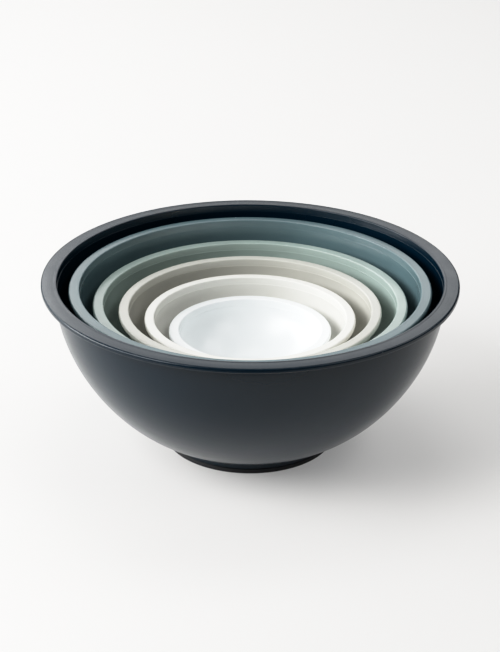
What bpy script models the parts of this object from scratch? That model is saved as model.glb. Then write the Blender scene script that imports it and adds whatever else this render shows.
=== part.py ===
"""A nest of round mixing bowls for hair colour, each with a soft grip ring pressed under its foot.

Metres, +Z up. The nest stands on z = 0 and its axis is the Z axis. Each bowl rests on the floor
of the bowl around it, so only the largest states its own radius, height and foot. The others
follow from their neighbour by named gaps and steps.
"""

from dataclasses import dataclass
from math import cos, pi, radians, sin, tan

import bpy
from mathutils import Vector

# Overall sizes, which are those of the largest bowl
OUTER_RADIUS = 0.150
OUTER_HEIGHT = 0.1273
OUTER_FOOT_RADIUS = 0.0622

# Wall and floor, the same in every bowl
WALL = 0.0022
FLOOR = 0.0024
FLOOR_ABOVE_FOOT = 0.0014
FOOT_SLOPE = radians(21)
FULLNESS = 0.70

# Rim
RIM_THICKNESS = 0.0040
RIM_TOP_ROUND = 0.0014
RIM_BOTTOM_ROUND = 0.0010
RIM_INNER_ROUND = 0.0010
RIM_ROOT_ROUND = 0.0015

# Foot, and the grip ring that is pressed into the groove under it
FOOT_WIDTH = 0.0070
TONGUE_WIDTH = 0.0024
TONGUE_HEIGHT = 0.0016
GRIP_ROUND = 0.0006

# Clearances
REST_GAP = 0.0003
PRESS_GAP = 0.0003
FOOT_CLEARANCE = 0.0010

# Fineness
WALL_STEPS = 6
BLEND_STEPS = 2
EDGE_STEPS = 2
SMALL_EDGE_STEPS = 1

COLLECTION = "hair_color_bowls"


@dataclass(frozen=True)
class Bowl:
    """What is chosen for one bowl."""

    name: str
    colour: tuple
    rim_width: float  # flat rim, from its outer edge to the inside of the wall
    grip_height: float  # how far the soft ring stands below the foot
    foot_rise: float  # moulded foot, from its underside to where the wall lands on it
    floor_inset: float  # from the foot's outside in to where the floor turns flat
    turns: int  # sides of the turned shape
    rim_gap: float = 0.0  # from the inside of the bowl around it to this rim
    rim_drop: float = 0.0  # from the rim around it down to this one


BOWLS = (
    Bowl("navy", (0.012, 0.019, 0.030), 0.0118, 0.0034, 0.0046, 0.0080, 36),
    Bowl("slate", (0.125, 0.170, 0.185), 0.0082, 0.0031, 0.0042, 0.0072, 36, 0.0077, 0.0067),
    Bowl("sage", (0.400, 0.470, 0.440), 0.0080, 0.0029, 0.0039, 0.0064, 32, 0.0088, 0.0123),
    Bowl("greige", (0.560, 0.560, 0.510), 0.0076, 0.0027, 0.0036, 0.0058, 28, 0.0105, 0.0054),
    Bowl("cream", (0.760, 0.755, 0.700), 0.0073, 0.0025, 0.0033, 0.0052, 24, 0.0109, 0.0072),
    Bowl("white", (0.840, 0.860, 0.850), 0.0076, 0.0023, 0.0030, 0.0052, 24, 0.0102, 0.0099),
)
BOWL_ROUGHNESS = 0.28
GRIP_COLOUR = (0.012, 0.013, 0.015)
GRIP_ROUGHNESS = 0.75


@dataclass(frozen=True)
class Placed:
    """One bowl in its place in the nest, with the sizes that follow from it."""

    bowl: Bowl
    rim_radius: float
    rim_top: float
    foot_radius: float
    base: float

    @property
    def inner_radius(self):
        return self.rim_radius - self.bowl.rim_width

    @property
    def rim_underside(self):
        return self.rim_top - RIM_THICKNESS

    @property
    def foot_bottom(self):
        return self.base + self.bowl.grip_height + PRESS_GAP

    @property
    def foot_top(self):
        return self.foot_bottom + self.bowl.foot_rise

    @property
    def foot_inside(self):
        return self.foot_radius - FOOT_WIDTH

    @property
    def groove_radius(self):
        return self.foot_radius - FOOT_WIDTH / 2

    @property
    def floor_top(self):
        return self.foot_top + FLOOR_ABOVE_FOOT

    @property
    def floor_radius(self):
        return self.foot_radius - self.bowl.floor_inset


def nested():
    """Every bowl in its place, from the outside in."""
    around = Placed(BOWLS[0], OUTER_RADIUS, OUTER_HEIGHT, OUTER_FOOT_RADIUS, 0.0)
    places = [around]
    for bowl in BOWLS[1:]:
        around = Placed(
            bowl,
            rim_radius=around.inner_radius - bowl.rim_gap,
            rim_top=around.rim_top - bowl.rim_drop,
            foot_radius=around.floor_radius - FOOT_CLEARANCE,
            base=around.floor_top + REST_GAP,
        )
        places.append(around)
    return places


def conic(start, corner, end, fullness, steps):
    """Points on the conic that leaves start towards corner and reaches end from it."""
    points = []
    for step in range(steps + 1):
        t = step / steps
        near_start = (1 - t) ** 2
        near_corner = 2 * fullness * t * (1 - t)
        near_end = t**2
        total = near_start + near_corner + near_end
        points.append((start * near_start + corner * near_corner + end * near_end) / total)
    return points


def rounded(before, corner, after, radius, steps):
    """The corner between two neighbours as a round arc, tangent to both of its sides."""
    back = (before - corner).normalized()
    onward = (after - corner).normalized()
    half_turn = (pi - back.angle(onward)) / 2
    reach = radius * tan(half_turn)
    return conic(corner + back * reach, corner, corner + onward * reach, cos(half_turn), steps)


def wall_curve(foot, top):
    """The wall's outline from its foot up to its upright top."""
    corner = Vector((top.x, foot.y + (top.x - foot.x) * tan(FOOT_SLOPE)))
    return conic(foot, corner, top, FULLNESS, WALL_STEPS)


def inside_outline(place):
    """From the middle of the floor, out and up to the rim's root height."""
    wall_foot = Vector(
        (
            place.foot_radius - WALL * sin(FOOT_SLOPE),
            place.foot_top + WALL * cos(FOOT_SLOPE),
        )
    )
    wall_top = Vector((place.inner_radius, place.rim_underside - RIM_ROOT_ROUND))
    flat_end = Vector((place.floor_radius, place.floor_top))
    rise = wall_foot.y - place.floor_top
    turn = Vector((wall_foot.x - rise / tan(FOOT_SLOPE), place.floor_top))
    centre = Vector((0, place.floor_top))
    blend = conic(flat_end, turn, wall_foot, cos(FOOT_SLOPE / 2), BLEND_STEPS)
    return [centre] + blend[:-1] + wall_curve(wall_foot, wall_top)


def rim_outline(place):
    """Over the flat rim, from the inside of the wall to the outside of it."""
    wall_outside = place.inner_radius + WALL
    root_height = place.rim_underside - RIM_ROOT_ROUND
    inner_top = Vector((place.inner_radius, place.rim_top))
    outer_top = Vector((place.rim_radius, place.rim_top))
    outer_bottom = Vector((place.rim_radius, place.rim_underside))
    root = Vector((wall_outside, place.rim_underside))
    wall_below = Vector((wall_outside, root_height))
    wall_inside = Vector((place.inner_radius, root_height))
    return (
        rounded(wall_inside, inner_top, outer_top, RIM_INNER_ROUND, EDGE_STEPS)
        + rounded(inner_top, outer_top, outer_bottom, RIM_TOP_ROUND, EDGE_STEPS)
        + rounded(outer_top, outer_bottom, root, RIM_BOTTOM_ROUND, SMALL_EDGE_STEPS)
        + rounded(outer_bottom, root, wall_below, RIM_ROOT_ROUND, SMALL_EDGE_STEPS)
    )


def outside_outline(place):
    """Down the outside of the wall to the foot, without the point shared with the rim."""
    wall_foot = Vector((place.foot_radius, place.foot_top))
    wall_top = Vector((place.inner_radius + WALL, place.rim_underside - RIM_ROOT_ROUND))
    return wall_curve(wall_foot, wall_top)[-2::-1]


def foot_outline(place):
    """Under the foot, with the groove for the grip ring, and across the recess to the axis."""
    bottom = place.foot_bottom
    groove_half = TONGUE_WIDTH / 2 + PRESS_GAP
    groove_top = bottom + TONGUE_HEIGHT + PRESS_GAP
    ceiling = place.floor_top - FLOOR
    return [
        Vector((place.foot_radius, bottom)),
        Vector((place.groove_radius + groove_half, bottom)),
        Vector((place.groove_radius + groove_half, groove_top)),
        Vector((place.groove_radius - groove_half, groove_top)),
        Vector((place.groove_radius - groove_half, bottom)),
        Vector((place.foot_inside, bottom)),
        Vector((place.foot_inside, ceiling)),
        Vector((0, ceiling)),
    ]


def grip_outline(place):
    """The ring's section: a flat pad with its outer edge rounded, and a tongue on top."""
    top = place.base + place.bowl.grip_height
    tongue_top = place.foot_bottom + TONGUE_HEIGHT
    tongue_half = TONGUE_WIDTH / 2
    pad_top = Vector((place.foot_radius, top))
    pad_bottom = Vector((place.foot_radius, place.base))
    pad_inside = Vector((place.foot_inside, place.base))
    return [
        Vector((place.groove_radius + tongue_half, tongue_top)),
        Vector((place.groove_radius + tongue_half, top)),
        pad_top,
        *rounded(pad_top, pad_bottom, pad_inside, GRIP_ROUND, SMALL_EDGE_STEPS),
        pad_inside,
        Vector((place.foot_inside, top)),
        Vector((place.groove_radius - tongue_half, top)),
        Vector((place.groove_radius - tongue_half, tongue_top)),
    ]


def turned(name, outline, closed, turns, material, collection):
    """An object that turns an outline of radius and height about the Z axis."""
    mesh = bpy.data.meshes.new(name)
    edges = [(i, i + 1) for i in range(len(outline) - 1)]
    if closed:
        edges.append((len(outline) - 1, 0))
    mesh.from_pydata([(point.x, 0, point.y) for point in outline], edges, [])
    mesh.materials.append(material)
    turned_object = bpy.data.objects.new(name, mesh)
    collection.objects.link(turned_object)
    screw = turned_object.modifiers.new("Turn", "SCREW")
    screw.axis = "Z"
    screw.angle = 2 * pi
    screw.steps = turns
    screw.render_steps = turns
    screw.use_merge_vertices = True
    screw.merge_threshold = 0.00005
    screw.use_smooth_shade = True
    return turned_object


def plastic(bowl):
    """The satin moulded plastic of one bowl."""
    return principled(bowl.name + "_plastic", bowl.colour, BOWL_ROUGHNESS)


def principled(name, colour, roughness):
    """A non-metal material of one colour and roughness."""
    material = bpy.data.materials.new(name)
    material.use_nodes = True
    shader = material.node_tree.nodes["Principled BSDF"]
    shader.inputs["Base Color"].default_value = (*colour, 1)
    shader.inputs["Roughness"].default_value = roughness
    shader.inputs["Metallic"].default_value = 0
    return material


def make_bowl(place, collection):
    """One bowl in one piece: wall, flat rim, floor and moulded foot."""
    outline = (
        inside_outline(place) + rim_outline(place) + outside_outline(place) + foot_outline(place)
    )
    bowl = place.bowl
    return turned(bowl.name + "_bowl", outline, False, bowl.turns, plastic(bowl), collection)


def make_grip(place, rubber, collection):
    """The soft ring pressed into the groove under one bowl's foot."""
    name = place.bowl.name + "_grip_ring"
    return turned(name, grip_outline(place), True, place.bowl.turns, rubber, collection)


def clear_scene():
    """Empty the scene of whatever it starts with."""
    for leftover in list(bpy.data.objects):
        bpy.data.objects.remove(leftover, do_unlink=True)


def main():
    """Build the whole nest."""
    clear_scene()
    collection = bpy.data.collections.new(COLLECTION)
    bpy.context.scene.collection.children.link(collection)
    rubber = principled("grip_rubber", GRIP_COLOUR, GRIP_ROUGHNESS)
    for place in nested():
        make_bowl(place, collection)
        make_grip(place, rubber, collection)


main()
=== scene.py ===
"""A nest of six moulded mixing bowls for hair colour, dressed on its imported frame.

Every bowl and grip ring is turned about the Z axis from one outline of radius and height. A
Geometry Nodes tree turns the outline, and each piece then stands for the frame's piece of the same
name. Lengths are in metres.
"""

import logging
from dataclasses import dataclass, field
from enum import Enum, IntEnum
from math import cos, pi, radians, sin, tan

import bpy
from mathutils import Matrix, Vector


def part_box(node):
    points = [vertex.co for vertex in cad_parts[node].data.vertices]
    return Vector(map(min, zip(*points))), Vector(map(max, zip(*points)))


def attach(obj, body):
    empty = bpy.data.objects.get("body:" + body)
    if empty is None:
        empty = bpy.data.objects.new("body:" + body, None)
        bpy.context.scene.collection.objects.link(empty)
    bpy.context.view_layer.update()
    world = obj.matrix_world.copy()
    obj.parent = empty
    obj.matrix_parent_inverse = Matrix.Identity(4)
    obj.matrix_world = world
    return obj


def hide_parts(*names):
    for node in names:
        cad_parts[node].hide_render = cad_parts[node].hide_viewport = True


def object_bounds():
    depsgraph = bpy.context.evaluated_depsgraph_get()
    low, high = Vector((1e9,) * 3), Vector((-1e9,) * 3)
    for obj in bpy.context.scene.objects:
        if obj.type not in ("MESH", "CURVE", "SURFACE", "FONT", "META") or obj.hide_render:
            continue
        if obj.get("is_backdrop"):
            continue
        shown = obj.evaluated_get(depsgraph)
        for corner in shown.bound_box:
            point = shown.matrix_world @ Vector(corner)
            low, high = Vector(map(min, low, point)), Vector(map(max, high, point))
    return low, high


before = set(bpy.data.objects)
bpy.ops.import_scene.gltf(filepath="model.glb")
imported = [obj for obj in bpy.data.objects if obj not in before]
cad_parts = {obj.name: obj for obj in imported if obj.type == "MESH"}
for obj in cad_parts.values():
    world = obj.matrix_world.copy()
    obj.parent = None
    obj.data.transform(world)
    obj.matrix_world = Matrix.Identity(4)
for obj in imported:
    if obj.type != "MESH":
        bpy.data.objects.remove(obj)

LOG = logging.getLogger("bowl_nest")

Number = float | int
Colour = tuple[float, float, float]
Span = tuple[float, float]
Settings = dict[str, object]
Inputs = dict[int | str, object]

COLOUR_ENDS = (6, 7)  # the Mix node's two colour inputs
COLOUR_RESULT = 2  # and its colour output
ALL_CHANNELS = 3  # the tone curve that acts on red, green and blue alike


# --------------------------------------------------------------------------------------------
# Node trees
# --------------------------------------------------------------------------------------------


@dataclass(frozen=True)
class Wire:
    """A node's output that can be added, subtracted and multiplied as a number is."""

    board: "Board"
    socket: bpy.types.NodeSocket

    def _math(self, operation: str, first: "Wire | Number", second: "Wire | Number") -> "Wire":
        """Joins two values with a Math node.

        Args:
            operation: the Math node's operation.
            first: the left value.
            second: the right value.

        Returns:
            The result's wire.
        """
        return self.board.add("ShaderNodeMath", {"operation": operation}, {0: first, 1: second})

    def __add__(self, other: "Wire | Number") -> "Wire":
        """self + other."""
        return self._math("ADD", self, other)

    def __radd__(self, other: "Wire | Number") -> "Wire":
        """other + self."""
        return self._math("ADD", other, self)

    def __sub__(self, other: "Wire | Number") -> "Wire":
        """self - other."""
        return self._math("SUBTRACT", self, other)

    def __rsub__(self, other: "Wire | Number") -> "Wire":
        """other - self."""
        return self._math("SUBTRACT", other, self)

    def __mul__(self, other: "Wire | Number") -> "Wire":
        """self * other."""
        return self._math("MULTIPLY", self, other)

    def __rmul__(self, other: "Wire | Number") -> "Wire":
        """other * self."""
        return self._math("MULTIPLY", other, self)

    def cosine(self) -> "Wire":
        """The cosine of an angle in radians."""
        return self._math("COSINE", self, 0.0)

    def sine(self) -> "Wire":
        """The sine of an angle in radians."""
        return self._math("SINE", self, 0.0)

    def ramp(self, low: float, high: float, start: float = 0.0, end: float = 1.0) -> "Wire":
        """Eases from one value to another as this one crosses a span.

        Args:
            low: where the span begins.
            high: where the span ends.
            start: the value at and before low.
            end: the value at and after high.

        Returns:
            The eased value's wire.
        """
        settings = {"interpolation_type": "SMOOTHSTEP", "clamp": True}
        span = {0: self, 1: low, 2: high, 3: start, 4: end}
        return self.board.add("ShaderNodeMapRange", settings, span)


@dataclass(frozen=True)
class Board:
    """A node tree under construction."""

    tree: bpy.types.NodeTree

    def node(self, kind: str, settings: Settings | None = None,
             inputs: Inputs | None = None) -> bpy.types.Node:
        """Adds any node.

        Args:
            kind: the node's type name.
            settings: properties to set first, since they change which sockets there are.
            inputs: a wire or a constant for each input, by name or by place.

        Returns:
            The node.
        """
        made = self.tree.nodes.new(kind)
        for name, value in (settings or {}).items():
            setattr(made, name, value)
        self.feed(made, inputs or {})
        return made

    def feed(self, node: bpy.types.Node, inputs: Inputs) -> None:
        """Links wires to a node's inputs, and sets constants straight on them.

        Args:
            node: the node.
            inputs: a wire or a constant for each input, by name or by place.
        """
        for place, value in inputs.items():
            if isinstance(value, Wire):
                self.tree.links.new(value.socket, node.inputs[place])
            else:
                node.inputs[place].default_value = value

    def add(self, kind: str, settings: Settings | None = None, inputs: Inputs | None = None,
            output: int | str = 0) -> Wire:
        """Adds any node and gives the wire of one of its outputs.

        Args:
            kind: the node's type name.
            settings: properties to set first.
            inputs: a wire or a constant for each input.
            output: which output, by name or by place.

        Returns:
            The output's wire.
        """
        return self.of(self.node(kind, settings, inputs), output)

    def of(self, node: bpy.types.Node, output: int | str) -> Wire:
        """The wire of a node's output."""
        return Wire(self, node.outputs[output])

    def mix(self, factor: Wire | Number, first: Wire | Colour, second: Wire | Colour) -> Wire:
        """Mixes two colours.

        Args:
            factor: 0 gives the first colour and 1 the second.
            first: a colour's wire, or red, green and blue.
            second: a colour's wire, or red, green and blue.

        Returns:
            The mixed colour's wire.
        """
        ends = [c if isinstance(c, Wire) else (*c, 1.0) for c in (first, second)]
        inputs = {0: factor, COLOUR_ENDS[0]: ends[0], COLOUR_ENDS[1]: ends[1]}
        return self.add("ShaderNodeMix", {"data_type": "RGBA"}, inputs, COLOUR_RESULT)

    def noise(self, where: Wire, clouds: "Clouds") -> Wire:
        """Cloudy noise about 0.5.

        Args:
            where: the place it is read at.
            clouds: what it is made of.

        Returns:
            The noise's wire.
        """
        if clouds.squeeze:
            squeezed = {0: where, 1: clouds.squeeze}
            where = self.add("ShaderNodeVectorMath", {"operation": "MULTIPLY"}, squeezed)
        sizes = {
            "Vector": where,
            "Scale": clouds.scale,
            "Detail": clouds.detail,
            "Roughness": clouds.rough,
        }
        return self.add("ShaderNodeTexNoise", {"noise_dimensions": "3D"}, sizes)


@dataclass(frozen=True)
class Clouds:
    """The make-up of a cloudy pattern."""

    scale: float  # how many clouds there are in a metre, roughly
    detail: float = 2.0  # how many finer layers it holds
    rough: float = 0.5  # how strong the finer layers are
    squeeze: tuple[float, float, float] | None = None  # how much closer along each axis


# --------------------------------------------------------------------------------------------
# Outlines, and the tree that turns them
# --------------------------------------------------------------------------------------------


class Steps(IntEnum):
    """How many straight pieces each curve of an outline is made in."""

    TINY_ROUND = 3
    RING_ROUND = 4
    SMALL_ROUND = 6
    LOWER_EDGE = 7
    BROAD_ROUND = 8
    UPPER_EDGE = 10
    INSIDE_WALL = 34
    OUTSIDE_WALL = 40


@dataclass
class Outline:
    """An outline of radius (x) and height (y), drawn in order, with how worn each point is."""

    points: list[Vector] = field(default_factory=list)
    wear: list[float] = field(default_factory=list)

    @property
    def along(self) -> list[float]:
        """How far each point lies along the outline.

        Returns:
            The lengths, in metres, from the first point to each one.
        """
        lengths = [0.0]
        for before, after in zip(self.points, self.points[1:]):
            lengths.append(lengths[-1] + (after - before).length)
        return lengths

    def to(self, point: Vector, steps: int = 1, wear: float = 0.0) -> None:
        """Draws a straight line to a point.

        Args:
            point: where it ends.
            steps: how many pieces it is made in.
            wear: how worn its points are, from 0 to 1.
        """
        start = self.points[-1] if self.points else point
        for step in range(1, steps + 1):
            self.points.append(start.lerp(point, step / steps))
            self.wear.append(wear)

    def conic(self, corner: Vector, end: Vector, fullness: float, steps: int,
              wear: float = 0.0) -> None:
        """Draws the conic that leaves the last point towards a corner and reaches its end from it.

        Args:
            corner: where the two end tangents meet.
            end: the last point.
            fullness: the corner's weight. A larger one draws the curve closer to the corner.
            steps: how many pieces it is made in.
            wear: how worn it is half-way, from 0 to 1.
        """
        start = self.points[-1].copy()
        for step in range(1, steps + 1):
            t = step / steps
            weights = ((1 - t) ** 2, 2 * fullness * t * (1 - t), t**2)
            blended = start * weights[0] + corner * weights[1] + end * weights[2]
            self.points.append(blended / sum(weights))
            self.wear.append(wear * sin(pi * t))

    def turn(self, corner: Vector, after: Vector, radius: float, steps: int,
             wear: float = 0.0) -> None:
        """Draws on towards a corner and round it, as an arc tangent to both of its sides.

        Args:
            corner: the sharp corner that the arc replaces.
            after: the next point beyond the corner.
            radius: the arc's radius.
            steps: how many pieces it is made in.
            wear: how worn the arc is half-way, from 0 to 1.
        """
        back = (self.points[-1] - corner).normalized()
        onward = (after - corner).normalized()
        half_turn = (pi - back.angle(onward)) / 2
        reach = radius * tan(half_turn)
        self.to(corner + back * reach)
        self.conic(corner, corner + onward * reach, cos(half_turn), steps, wear)


class Part(Enum):
    """The two pieces of a bowl, by the end of their node's name."""

    BOWL = "_bowl"
    GRIP_RING = "_grip_ring"


@dataclass
class Lathe:
    """Turns outlines about the Z axis with one Geometry Nodes tree."""

    merge_reach: float = 0.000004
    tree: bpy.types.NodeTree | None = None

    def build(self) -> None:
        """Builds the tree, which takes the outline, the turns, the merge reach and the finish."""
        tree = bpy.data.node_groups.new("Turned shape", "GeometryNodeTree")
        face = tree.interface
        face.new_socket("Outline", in_out="INPUT", socket_type="NodeSocketGeometry")
        face.new_socket("Turns", in_out="INPUT", socket_type="NodeSocketInt")
        face.new_socket("Merge Reach", in_out="INPUT", socket_type="NodeSocketFloat")
        face.new_socket("Finish", in_out="INPUT", socket_type="NodeSocketMaterial")
        face.new_socket("Turned", in_out="OUTPUT", socket_type="NodeSocketGeometry")
        board = Board(tree)
        given = board.node("NodeGroupInput")
        outline, turns, reach, finish = [board.of(given, place) for place in range(4)]

        count = board.add("GeometryNodeAttributeDomainSize", {"component": "MESH"}, {0: outline})
        grid = board.add(
            "GeometryNodeMeshGrid", {}, {"Size X": 1.0, "Size Y": 1.0, 2: turns + 1, 3: count}
        )
        here = board.add("GeometryNodeInputPosition")
        across = board.node("ShaderNodeSeparateXYZ", {}, {0: here})
        share = board.of(across, 0) + 0.5
        place = (board.of(across, 1) + 0.5) * (count - 1)
        row = board.add("FunctionNodeFloatToInt", {"rounding_mode": "ROUND"}, {0: place})

        wear = self._read(board, outline, row, "wear")
        along = self._read(board, outline, row, "along")
        spot = board.add(
            "GeometryNodeSampleIndex", {"data_type": "FLOAT_VECTOR", "domain": "POINT"},
            {"Geometry": outline, "Value": here, "Index": row},
        )
        parts = board.node("ShaderNodeSeparateXYZ", {}, {0: spot})
        radius, height = board.of(parts, 0), board.of(parts, 2)
        angle = share * (2 * pi)
        turned = board.add(
            "ShaderNodeCombineXYZ", {},
            {0: radius * angle.cosine(), 1: radius * angle.sine(), 2: height},
        )

        chart = board.add("ShaderNodeCombineXYZ", {}, {0: share, 1: along})
        charted = board.add(
            "GeometryNodeStoreNamedAttribute", {"data_type": "FLOAT2", "domain": "CORNER"},
            {"Geometry": grid, "Name": "UVMap", "Value": chart},
        )
        worn = board.add(
            "GeometryNodeStoreNamedAttribute", {"data_type": "FLOAT", "domain": "POINT"},
            {"Geometry": charted, "Name": "wear", "Value": wear},
        )
        bent = board.add("GeometryNodeSetPosition", {}, {"Geometry": worn, "Position": turned})
        closed = board.add("GeometryNodeMergeByDistance", {}, {"Geometry": bent, "Distance": reach})
        facing = board.add("GeometryNodeFlipFaces", {}, {"Mesh": closed})
        smooth = board.add("GeometryNodeSetShadeSmooth", {}, {0: facing})
        real = board.add("GeometryNodeRealizeInstances", {}, {0: smooth})
        dressed = board.add("GeometryNodeSetMaterial", {}, {"Geometry": real, "Material": finish})
        board.node("NodeGroupOutput", {}, {0: dressed})
        self.tree = tree

    def _read(self, board: Board, outline: Wire, row: Wire, name: str) -> Wire:
        """Reads one named value of the outline.

        Args:
            board: the tree under construction.
            outline: the outline's geometry.
            row: which of its points to read.
            name: the value's name.

        Returns:
            The value's wire.
        """
        named = board.add("GeometryNodeInputNamedAttribute", {"data_type": "FLOAT"}, {"Name": name})
        return board.add(
            "GeometryNodeSampleIndex", {"data_type": "FLOAT", "domain": "POINT"},
            {"Geometry": outline, "Value": named, "Index": row},
        )

    def turned(self, name: str, outline: Outline, turns: int,
               finish: bpy.types.Material) -> bpy.types.Object:
        """Turns an outline into a plain mesh.

        Args:
            name: the piece's name.
            outline: its outline, drawn out along its top and back underneath.
            turns: how many sides it has.
            finish: its material.

        Returns:
            The piece, at the origin, with no modifier left on it.
        """
        mesh = bpy.data.meshes.new(name)
        edges = [(i, i + 1) for i in range(len(outline.points) - 1)]
        mesh.from_pydata([(p.x, 0.0, p.y) for p in outline.points], edges, [])
        for label, values in (("wear", outline.wear), ("along", outline.along)):
            mesh.attributes.new(label, "FLOAT", "POINT").data.foreach_set("value", values)
        piece = bpy.data.objects.new(name, mesh)
        bpy.context.scene.collection.objects.link(piece)
        modifier = piece.modifiers.new("Turn", "NODES")
        modifier.node_group = self.tree
        given = {
            "Turns": turns,
            "Merge Reach": self.merge_reach,
            "Finish": finish,
        }
        for item in self.tree.interface.items_tree:
            if item.item_type == "SOCKET" and item.in_out == "INPUT" and item.name in given:
                modifier[item.identifier] = given[item.name]
        graph = bpy.context.evaluated_depsgraph_get()
        solid = bpy.data.meshes.new_from_object(piece.evaluated_get(graph))
        solid.materials.pop(index=0)  # the empty slot of the outline itself
        piece.modifiers.remove(modifier)
        piece.data = solid
        solid.name = name
        bpy.data.meshes.remove(mesh)
        return piece


# --------------------------------------------------------------------------------------------
# Finishes
# --------------------------------------------------------------------------------------------


@dataclass(frozen=True)
class Blank:
    """A new material with its tree, its shader and the place that it is read at."""

    material: bpy.types.Material
    board: Board
    shader: bpy.types.Node
    place: Wire

    @classmethod
    def named(cls, name: str) -> "Blank":
        """Starts a material.

        Args:
            name: its name.

        Returns:
            The new material and what is needed to finish it.
        """
        material = bpy.data.materials.new(name)
        material.use_nodes = True
        board = Board(material.node_tree)
        place = board.add("ShaderNodeTexCoord", {}, {}, "Object")
        return cls(material, board, material.node_tree.nodes["Principled BSDF"], place)


@dataclass(frozen=True)
class MouldedPlastic:
    """Satin moulded plastic: even colour, a soft sheen, fine turning lines and light handling."""

    name: str
    colour: Colour
    worn_colour: Colour
    roughness: float = 0.24
    ior: float = 1.5
    mottle: float = 0.05  # how much the colour drifts
    dust: float = 0.3  # how strongly its specks show
    dust_colour: Colour = (0.55, 0.56, 0.56)
    drift: Clouds = Clouds(22.0, 3.0)
    drift_span: Span = (0.3, 0.7)
    rubbing: Clouds = Clouds(130.0, 3.0, 0.6)
    rubbing_span: Span = (0.30, 0.75)
    rubbed_most: float = 0.55  # how far an edge goes to its worn colour
    smears: Clouds = Clouds(60.0, 4.0, 0.6, (1.0, 1.0, 2.5))
    smear_roughness: float = 0.12
    lines: Clouds = Clouds(1.0, 2.0, 0.6, (6.0, 1800.0, 1.0))  # read along the outline
    line_roughness: float = 0.04
    line_height: float = 0.25
    grain: Clouds = Clouds(1500.0, 1.0)
    grain_height: float = 0.175
    rubbed_roughness: float = 0.12
    speck_cells: float = 90.0  # cells in a metre, each with a speck or none
    speck_share: Span = (0.93, 0.96)  # the draw from which a cell has one
    speck_edge: Span = (0.022, 0.045)
    speck_roughness: float = 0.25
    speck_height: float = 0.6
    bump_strength: float = 0.25
    bump_depth: float = 0.00002

    def material(self) -> bpy.types.Material:
        """Builds the finish.

        Returns:
            The material.
        """
        blank = Blank.named(self.name)
        board, place = blank.board, blank.place
        chart = board.add("ShaderNodeTexCoord", {}, {}, "UV")
        wear = board.add("ShaderNodeAttribute", {"attribute_name": "wear"}, {}, "Fac")
        lines = board.noise(chart, self.lines)
        specks = self._specks(board, place)

        drift = board.noise(place, self.drift).ramp(*self.drift_span)
        shade = board.mix(drift, self._scaled(1 - self.mottle), self._scaled(1 + self.mottle))
        rubbed = wear * board.noise(place, self.rubbing)
        rubbed = rubbed.ramp(*self.rubbing_span, 0.0, self.rubbed_most)
        shade = board.mix(rubbed, shade, self.worn_colour)
        shade = board.mix(specks * self.dust, shade, self.dust_colour)

        rough = self.roughness + (board.noise(place, self.smears) - 0.5) * self.smear_roughness
        rough = rough + (lines - 0.5) * self.line_roughness
        rough = rough + rubbed * self.rubbed_roughness + specks * self.speck_roughness

        height = board.noise(place, self.grain) * self.grain_height + lines * self.line_height
        bump = board.add("ShaderNodeBump", {}, {
            "Strength": self.bump_strength,
            "Distance": self.bump_depth,
            "Height": height + specks * self.speck_height,
        })
        board.feed(blank.shader, {
            "Base Color": shade, "Roughness": rough, "IOR": self.ior, "Normal": bump,
        })
        return blank.material

    def _scaled(self, share: float) -> Colour:
        """The colour, lighter or darker by a share."""
        return tuple(channel * share for channel in self.colour)

    def _specks(self, board: Board, place: Wire) -> Wire:
        """Sparse specks of dust and small scuffs.

        Args:
            board: the tree under construction.
            place: where the finish is read.

        Returns:
            1 on a speck and 0 elsewhere.
        """
        sizes = {"Vector": place, "Scale": self.speck_cells}
        cells = board.node("ShaderNodeTexVoronoi", {"feature": "F1"}, sizes)
        draw = board.node("ShaderNodeSeparateXYZ", {}, {0: board.of(cells, "Color")})
        chosen = board.of(draw, 0).ramp(*self.speck_share)
        return board.of(cells, "Distance").ramp(*self.speck_edge, 1.0, 0.0) * chosen


@dataclass(frozen=True)
class SoftGrip:
    """Matt soft rubber, with a fine grain and a little dust in it."""

    name: str
    colour: Colour
    dusty_colour: Colour
    roughness: float = 0.6
    dust: Clouds = Clouds(160.0, 4.0, 0.65)
    dust_span: Span = (0.5, 0.8)
    dust_most: float = 0.4
    dust_roughness: float = 0.15
    grain: Clouds = Clouds(2600.0, 1.0)
    bump_strength: float = 0.5
    bump_depth: float = 0.00004

    def material(self) -> bpy.types.Material:
        """Builds the finish.

        Returns:
            The material.
        """
        blank = Blank.named(self.name)
        board = blank.board
        dust = board.noise(blank.place, self.dust).ramp(*self.dust_span)
        bump = board.add("ShaderNodeBump", {}, {
            "Strength": self.bump_strength,
            "Distance": self.bump_depth,
            "Height": board.noise(blank.place, self.grain),
        })
        board.feed(blank.shader, {
            "Base Color": board.mix(dust * self.dust_most, self.colour, self.dusty_colour),
            "Roughness": self.roughness + dust * self.dust_roughness,
            "Normal": bump,
        })
        return blank.material


@dataclass(frozen=True)
class PaleFloor:
    """A plain pale matt surface with a painted glow that lightens the shade on it."""

    name: str = "pale_floor"
    colour: Colour = (0.715, 0.703, 0.685)
    paler: float = 1.012  # how much paler its lightest clouds are
    drift: Clouds = Clouds(5.0, 3.0)
    roughness: float = 0.75
    specular: float = 0.2
    painted_glow_colour: Colour = (1.0, 1.0, 1.0)
    painted_glow: float = 0.185  # painted glow: an even emission that lifts the floor's shadows

    def material(self) -> bpy.types.Material:
        """Builds the finish.

        Returns:
            The material.
        """
        blank = Blank.named(self.name)
        board = blank.board
        paler = tuple(min(1.0, channel * self.paler) for channel in self.colour)
        board.feed(blank.shader, {
            "Base Color": board.mix(board.noise(blank.place, self.drift), self.colour, paler),
            "Roughness": self.roughness,
            "Specular IOR Level": self.specular,
            # Painted glow: the floor emits a little light, which lightens it evenly, shadows
            # included, though it is no lamp.
            "Emission Color": (*self.painted_glow_colour, 1.0),
            "Emission Strength": self.painted_glow,
        })
        return blank.material


# --------------------------------------------------------------------------------------------
# Bowls
# --------------------------------------------------------------------------------------------


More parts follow.
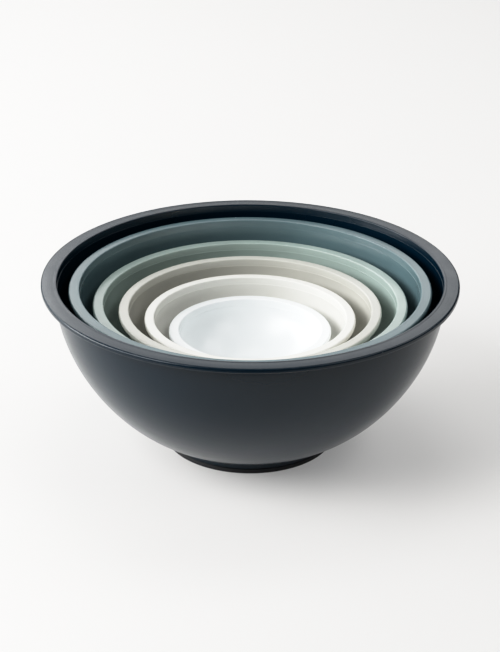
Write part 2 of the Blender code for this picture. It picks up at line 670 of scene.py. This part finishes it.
@dataclass(frozen=True)
class MouldSizes:
    """What every bowl of the set shares."""

    wall: float = 0.0022
    floor: float = 0.0024
    floor_above_foot: float = 0.0014
    foot_slope: float = radians(21)
    fullness: float = 0.70
    rim_thickness: float = 0.0040
    rim_top_round: float = 0.0014
    rim_bottom_round: float = 0.0010
    rim_inner_round: float = 0.0009
    rim_root_round: float = 0.0015
    rim_fall: float = 0.022  # how far the rim's outer edge lies lower, as a share of its width
    fall_start: float = 0.5  # where the fall bends down, in rim widths from the outer edge
    fall_end: float = 1.2  # where it ends, in top rounds from the outer edge
    fall_done: float = 0.9  # how much of the fall is done there
    fall_fullness: float = 0.75
    land_step: float = 0.00022  # the land above the wall stands back by this
    land_round: float = 0.000088
    bead_inset: float = 0.0021  # from the inner edge to the fine step on the rim
    foot_width: float = 0.0070
    foot_round: float = 0.0005
    recess_round: float = 0.0010
    groove_round: float = 0.0002
    tongue_width: float = 0.0024
    tongue_height: float = 0.0016
    tongue_round: float = 0.0002
    tongue_root_round: float = 0.0001
    press_gap: float = 0.0003
    pad_round: float = 0.0003
    grip_round: float = 0.0006
    gate_radius: float = 0.0028  # the moulding gate's mark under the floor
    gate_depth: float = 0.0004
    gate_round: float = 0.0001


@dataclass
class Bowl:
    """One bowl with the grip ring under its foot. The frame gives where it stands."""

    body: str
    plastic: MouldedPlastic
    rim_width: float
    foot_rise: float
    floor_inset: float
    turns: int
    bead_drop: float = 0.00004  # how far the flat of the rim lies below its inner bead
    mould: MouldSizes = MouldSizes()
    rim_radius: float = field(init=False)
    rim_top: float = field(init=False)
    rim_underside: float = field(init=False)
    inner_radius: float = field(init=False)
    floor_top: float = field(init=False)
    foot_radius: float = field(init=False)
    foot_top: float = field(init=False)
    foot_bottom: float = field(init=False)
    groove_radius: float = field(init=False)
    base: float = field(init=False)

    def __post_init__(self) -> None:
        """Reads where the frame's two pieces lie."""
        low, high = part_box(self.body + Part.BOWL.value)
        ring_low, ring_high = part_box(self.body + Part.GRIP_RING.value)
        self.rim_radius = high.x
        self.rim_top = high.z
        self.rim_underside = self.rim_top - self.mould.rim_thickness
        self.inner_radius = self.rim_radius - self.rim_width
        self.foot_radius = ring_high.x
        self.foot_bottom = low.z
        self.foot_top = self.foot_bottom + self.foot_rise
        self.floor_top = self.foot_top + self.mould.floor_above_foot
        self.groove_radius = self.foot_radius - self.mould.foot_width / 2
        self.base = ring_low.z

    def _wall(self, outline: Outline, foot: Vector, top: Vector, steps: int, upwards: bool) -> None:
        """Draws the wall's curve between its foot and its upright top.

        Args:
            outline: the outline, which already stands at one end.
            foot: the lower end.
            top: the upper end.
            steps: how many pieces it is made in.
            upwards: whether it is drawn from the foot to the top.
        """
        corner = Vector((top.x, foot.y + (top.x - foot.x) * tan(self.mould.foot_slope)))
        outline.conic(corner, top if upwards else foot, self.mould.fullness, steps)

    def _inside(self, outline: Outline) -> None:
        """Draws from the middle of the floor, out and up to the land under the rim.

        Args:
            outline: the outline, still empty.
        """
        m = self.mould
        slope = m.foot_slope
        wall_foot = Vector((
            self.foot_radius - m.wall * sin(slope),
            self.foot_top + m.wall * cos(slope),
        ))
        run = (wall_foot.y - self.floor_top) / tan(slope)
        outline.to(Vector((0.0, self.floor_top)))
        flat_end = Vector((self.foot_radius - self.floor_inset, self.floor_top))
        outline.to(flat_end, Steps.SMALL_ROUND)
        turn = Vector((wall_foot.x - run, self.floor_top))
        outline.conic(turn, wall_foot, cos(slope / 2), Steps.SMALL_ROUND)
        top = Vector((self.inner_radius, self.rim_underside - m.rim_root_round))
        self._wall(outline, wall_foot, top, Steps.INSIDE_WALL, upwards=True)

    def _rim(self, outline: Outline) -> None:
        """Draws the land, the fine bead, the flat rim and its rounded edges, down to the wall.

        Args:
            outline: the outline, which stands at the top of the inside wall.
        """
        m = self.mould
        ledge = self.rim_underside - m.rim_root_round
        land = self.inner_radius + m.land_step
        flat = self.rim_top - self.bead_drop
        bead = land + m.bead_inset
        land_in = Vector((self.inner_radius, ledge + m.land_step))
        land_out = Vector((land, ledge + m.land_step))
        inner_top = Vector((land, self.rim_top))
        bead_top = Vector((bead, self.rim_top))
        bead_foot = Vector((bead + self.bead_drop, flat))
        outline.turn(land_in, land_out, m.land_round, Steps.TINY_ROUND, wear=0.3)
        outline.turn(land_out, inner_top, m.land_round, Steps.TINY_ROUND)
        outline.turn(inner_top, bead_top, m.rim_inner_round, Steps.BROAD_ROUND, wear=0.8)
        outline.turn(bead_top, bead_foot, self.bead_drop, Steps.TINY_ROUND, wear=0.3)
        flat_end = Vector((self.rim_radius, flat))
        outline.turn(bead_foot, flat_end, self.bead_drop, Steps.TINY_ROUND)

        fall = m.rim_fall * self.rim_width
        bend = Vector((self.rim_radius - self.rim_width * m.fall_start, flat))
        shoulder = Vector((
            self.rim_radius - m.rim_top_round * m.fall_end,
            flat - fall * m.fall_done,
        ))
        outline.conic(bend, shoulder, m.fall_fullness, Steps.BROAD_ROUND)
        outer_top = Vector((self.rim_radius, flat - fall))
        outer_bottom = Vector((self.rim_radius, self.rim_underside))
        root = Vector((self.inner_radius + m.wall, self.rim_underside))
        below = Vector((root.x, ledge))
        outline.turn(outer_top, outer_bottom, m.rim_top_round, Steps.UPPER_EDGE, wear=1.0)
        outline.turn(outer_bottom, root, m.rim_bottom_round, Steps.LOWER_EDGE, wear=0.5)
        outline.turn(root, below, m.rim_root_round, Steps.SMALL_ROUND)

    def _outside(self, outline: Outline) -> None:
        """Draws down the outside of the wall to the foot.

        Args:
            outline: the outline, which stands under the rim.
        """
        top = outline.points[-1].copy()
        foot = Vector((self.foot_radius, self.foot_top))
        self._wall(outline, foot, top, Steps.OUTSIDE_WALL, upwards=False)

    def _foot(self, outline: Outline) -> None:
        """Draws under the foot, round the ring's groove, and across the recess to the axis.

        Args:
            outline: the outline, which stands at the top of the foot.
        """
        m = self.mould
        bottom = self.foot_bottom
        half = m.tongue_width / 2 + m.press_gap
        groove_top = bottom + m.tongue_height + m.press_gap
        inside = self.foot_radius - m.foot_width
        ceiling = self.floor_top - m.floor
        gate = ceiling + m.gate_depth
        corners = [
            (Vector((self.foot_radius, bottom)), m.foot_round, 0.6),
            (Vector((self.groove_radius + half, bottom)), m.groove_round, 0.0),
            (Vector((self.groove_radius + half, groove_top)), m.groove_round, 0.0),
            (Vector((self.groove_radius - half, groove_top)), m.groove_round, 0.0),
            (Vector((self.groove_radius - half, bottom)), m.groove_round, 0.0),
            (Vector((inside, bottom)), m.foot_round, 0.5),
            (Vector((inside, ceiling)), m.recess_round, 0.0),
            (Vector((m.gate_radius, ceiling)), m.gate_round, 0.0),
            (Vector((m.gate_radius - m.gate_depth, gate)), m.gate_round, 0.0),
            (Vector((0.0, gate)), 0.0, 0.0),
        ]
        for (corner, radius, wear), (after, _, _) in zip(corners, corners[1:]):
            outline.turn(corner, after, radius, Steps.TINY_ROUND, wear)
        outline.to(corners[-1][0])

    def shell(self) -> Outline:
        """Draws the whole bowl, from the middle of its floor round to the axis below it.

        Returns:
            The bowl's outline.
        """
        outline = Outline()
        self._inside(outline)
        self._rim(outline)
        self._outside(outline)
        self._foot(outline)
        return outline

    def ring(self) -> Outline:
        """Draws the grip ring, a flat pad with a tongue on top.

        Returns:
            The ring's outline, closed on itself.
        """
        m = self.mould
        top = self.foot_bottom - m.press_gap
        tongue_top = self.foot_bottom + m.tongue_height
        half = m.tongue_width / 2
        inside = self.foot_radius - m.foot_width
        corners = [
            (Vector((self.groove_radius + half, top)), m.tongue_root_round, 0.0),
            (Vector((self.foot_radius, top)), m.pad_round, 0.4),
            (Vector((self.foot_radius, self.base)), m.grip_round, 0.4),
            (Vector((inside, self.base)), m.grip_round, 0.4),
            (Vector((inside, top)), m.pad_round, 0.4),
            (Vector((self.groove_radius - half, top)), m.tongue_root_round, 0.0),
            (Vector((self.groove_radius - half, tongue_top)), m.tongue_round, 0.0),
            (Vector((self.groove_radius + half, tongue_top)), m.tongue_round, 0.0),
        ]
        start = Vector((self.groove_radius + half, (top + tongue_top) / 2))
        onward = [corner for corner, _, _ in corners[1:]] + [start]
        outline = Outline()
        outline.to(start)
        for (corner, radius, wear), after in zip(corners, onward):
            outline.turn(corner, after, radius, Steps.RING_ROUND, wear)
        outline.to(start)
        return outline

    def build(self, lathe: Lathe, rubber: bpy.types.Material) -> list[bpy.types.Object]:
        """Turns, dresses and seats both pieces.

        Args:
            lathe: what turns the outlines.
            rubber: the rings' finish.

        Returns:
            The bowl and its ring.
        """
        made = []
        for part, outline, finish, slot in (
            (Part.BOWL, self.shell(), self.plastic.material(), self.body + "_plastic"),
            (Part.GRIP_RING, self.ring(), rubber, "grip_rubber"),
        ):
            node = self.body + part.value
            piece = lathe.turned("turned_" + node, outline, self.turns, finish)
            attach(piece, self.body)
            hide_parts(node)
            made.append(piece)
        return made


# --------------------------------------------------------------------------------------------
# Studio
# --------------------------------------------------------------------------------------------


@dataclass(frozen=True)
class SoftBox:
    """One large soft light that faces the nest."""

    name: str
    azimuth: float  # degrees round from +X, seen from above
    elevation: float  # degrees above the floor
    power: float
    width: float = 1.0
    height: float = 0.6
    distance: float = 1.9

    def build(self, target: Vector) -> bpy.types.Object:
        """Hangs the light.

        Args:
            target: the point that it faces.

        Returns:
            The light.
        """
        a, e = radians(self.azimuth), radians(self.elevation)
        towards = Vector((cos(a) * cos(e), sin(a) * cos(e), sin(e)))
        data = bpy.data.lights.new(self.name, "AREA")
        data.shape = "RECTANGLE"
        data.size = self.width
        data.size_y = self.height
        data.energy = self.power
        light = bpy.data.objects.new(self.name, data)
        bpy.context.scene.collection.objects.link(light)
        light.location = target + towards * self.distance
        light.rotation_euler = towards.to_track_quat("Z", "Y").to_euler()
        light.visible_camera = False
        return light


@dataclass(frozen=True)
class Viewpoint:
    """The camera, placed from the middle of the largest rim."""

    distance: float = 1.4357
    elevation: float = radians(23.741)
    pitch_down: float = radians(25.171)
    roll: float = radians(0.399)
    lens: float = 110.43
    sensor: float = 36.0

    def build(self, rim_centre: Vector) -> bpy.types.Object:
        """Makes the scene's camera.

        Args:
            rim_centre: the middle of the largest rim.

        Returns:
            The camera.
        """
        upright = pi / 2
        data = bpy.data.cameras.new("camera")
        data.lens = self.lens
        data.sensor_width = self.sensor
        camera = bpy.data.objects.new("camera", data)
        bpy.context.scene.collection.objects.link(camera)
        back = Vector((0.0, -cos(self.elevation), sin(self.elevation)))
        pitch = Matrix.Rotation(upright - self.pitch_down, 4, "X")
        roll = Matrix.Rotation(self.roll, 4, "Z")
        camera.matrix_world = Matrix.Translation(rim_centre + back * self.distance) @ pitch @ roll
        bpy.context.scene.camera = camera
        return camera


@dataclass(frozen=True)
class Film:
    """How light becomes tone: a short toe in the darks and a soft shoulder."""

    exposure: float = 0.2
    brightest: float = 1.6
    toe_and_shoulder: tuple[tuple[float, float], ...] = (
        (0.01, 0.006), (0.03, 0.022), (0.06, 0.048), (0.12, 0.108), (0.25, 0.25),
        (0.50, 0.52), (0.70, 0.69), (0.90, 0.79), (1.10, 0.85),
    )
    end: float = 0.93

    def load(self, view: bpy.types.ColorManagedViewSettings) -> None:
        """Sets a scene's view to this film.

        Args:
            view: the scene's view settings.
        """
        view.view_transform = "Standard"
        view.exposure = self.exposure
        view.use_curve_mapping = True
        mapping = view.curve_mapping
        mapping.white_level = (self.brightest,) * 3
        tones = mapping.curves[ALL_CHANNELS]
        tones.points[0].location = (0.0, 0.0)
        tones.points[1].location = (1.0, self.end)
        for light, tone in self.toe_and_shoulder:
            tones.points.new(light / self.brightest, tone)
        mapping.update()


@dataclass(frozen=True)
class Studio:
    """Pale floor, soft light and camera."""

    boxes: tuple[SoftBox, ...]
    floor: PaleFloor = PaleFloor()
    sky: Colour = (1.0, 1.0, 1.0)
    sky_strength: float = 0.12
    film: Film = Film()
    floor_half: float = 30.0
    floor_front: float = 0.36  # from the object's middle to the floor's front edge
    floor_gap: float = 0.0002
    viewpoint: Viewpoint = Viewpoint()

    def build(self, low: Vector, high: Vector) -> None:
        """Sets the studio up round the object.

        Args:
            low: the object's lowest corner.
            high: the object's highest corner.
        """
        centre = (low + high) / 2
        self._floor(low.z - self.floor_gap)
        self._sky()
        for box in self.boxes:
            box.build(Vector((centre.x, centre.y, high.z)))
        self.viewpoint.build(Vector((centre.x, centre.y, high.z)))
        self.film.load(bpy.context.scene.view_settings)

    def _floor(self, height: float) -> None:
        """Lays one wide plain floor, with its front edge just ahead of the object.

        Args:
            height: where it lies.
        """
        h = self.floor_half
        front = -self.floor_front
        mesh = bpy.data.meshes.new("floor")
        corners = [(-h, front, height), (h, front, height), (h, h, height), (-h, h, height)]
        mesh.from_pydata(corners, [], [(0, 1, 2, 3)])
        mesh.materials.append(self.floor.material())
        floor = bpy.data.objects.new("floor", mesh)
        bpy.context.scene.collection.objects.link(floor)
        floor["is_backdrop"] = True

    def _sky(self) -> None:
        """Lights the room evenly."""
        world = bpy.data.worlds.new("room")
        world.use_nodes = True
        room = world.node_tree.nodes["Background"]
        room.inputs["Color"].default_value = (*self.sky, 1.0)
        room.inputs["Strength"].default_value = self.sky_strength
        bpy.context.scene.world = world


# --------------------------------------------------------------------------------------------
# The set
# --------------------------------------------------------------------------------------------

NAVY = MouldedPlastic(
    "navy_satin", (0.0006, 0.0110, 0.0215), (0.016, 0.030, 0.044),
    roughness=0.22, ior=1.42, dust=0.8,
)
SLATE = MouldedPlastic("slate_satin", (0.098, 0.152, 0.166), (0.170, 0.225, 0.235), ior=1.6)
SAGE = MouldedPlastic("sage_satin", (0.330, 0.408, 0.378), (0.420, 0.490, 0.460), ior=1.6)
GREIGE = MouldedPlastic("greige_satin", (0.530, 0.527, 0.478), (0.580, 0.574, 0.527))
CREAM = MouldedPlastic("cream_satin", (0.800, 0.796, 0.745), (0.820, 0.818, 0.776), mottle=0.015)
WHITE = MouldedPlastic("white_satin", (0.890, 0.925, 0.935), (0.900, 0.930, 0.935), mottle=0.01)
GRIP = SoftGrip("soft_grip", (0.006, 0.007, 0.009), (0.030, 0.031, 0.033))


def bowls() -> list[Bowl]:
    """Describes the six bowls.

    Returns:
        The bowls, from the outside in.
    """
    return [
        Bowl("navy", NAVY, rim_width=0.0118, foot_rise=0.0046, floor_inset=0.0080, turns=240,
             bead_drop=0.00012),
        Bowl("slate", SLATE, rim_width=0.0082, foot_rise=0.0042, floor_inset=0.0072, turns=240),
        Bowl("sage", SAGE, rim_width=0.0080, foot_rise=0.0039, floor_inset=0.0064, turns=216),
        Bowl("greige", GREIGE, rim_width=0.0076, foot_rise=0.0036, floor_inset=0.0058, turns=192),
        Bowl("cream", CREAM, rim_width=0.0073, foot_rise=0.0033, floor_inset=0.0052, turns=168),
        Bowl("white", WHITE, rim_width=0.0076, foot_rise=0.0030, floor_inset=0.0052, turns=144),
    ]


def studio() -> Studio:
    """Describes the studio that the nest stands in.

    Returns:
        The studio, not yet built.
    """
    tall = {"width": 0.9, "height": 0.8}
    return Studio(boxes=(
        SoftBox("key_front_left", azimuth=210.0, elevation=46.0, power=11.5, **tall),
        SoftBox("low_front_left", azimuth=210.0, elevation=26.0, power=10.5),
        SoftBox("key_left", azimuth=180.0, elevation=26.0, power=9.6),
        SoftBox("low_left", azimuth=180.0, elevation=10.0, power=20.0, width=1.2),
        SoftBox("back_left", azimuth=155.0, elevation=22.0, power=8.0),
        SoftBox("rims_left", azimuth=120.0, elevation=26.0, power=5.2),
        SoftBox("rims", azimuth=90.0, elevation=26.0, power=3.2),
        SoftBox("overhead", azimuth=90.0, elevation=68.0, power=4.6, **tall),
        SoftBox("back_right", azimuth=30.0, elevation=46.0, power=4.4, **tall),
        SoftBox("front_right", azimuth=330.0, elevation=46.0, power=4.2, **tall),
    ))


def main() -> None:
    """Builds the nest and its studio, in order, and reports each piece."""
    logging.basicConfig(level=logging.INFO, format="%(name)s: %(message)s")
    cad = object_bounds()
    lathe = Lathe()
    lathe.build()
    rubber = GRIP.material()
    for bowl in bowls():
        for piece in bowl.build(lathe, rubber):
            LOG.info("%s: %d faces, rides on %s", piece.name, len(piece.data.polygons), bowl.body)
    studio().build(*cad)


if __name__ == "__main__":
    main()
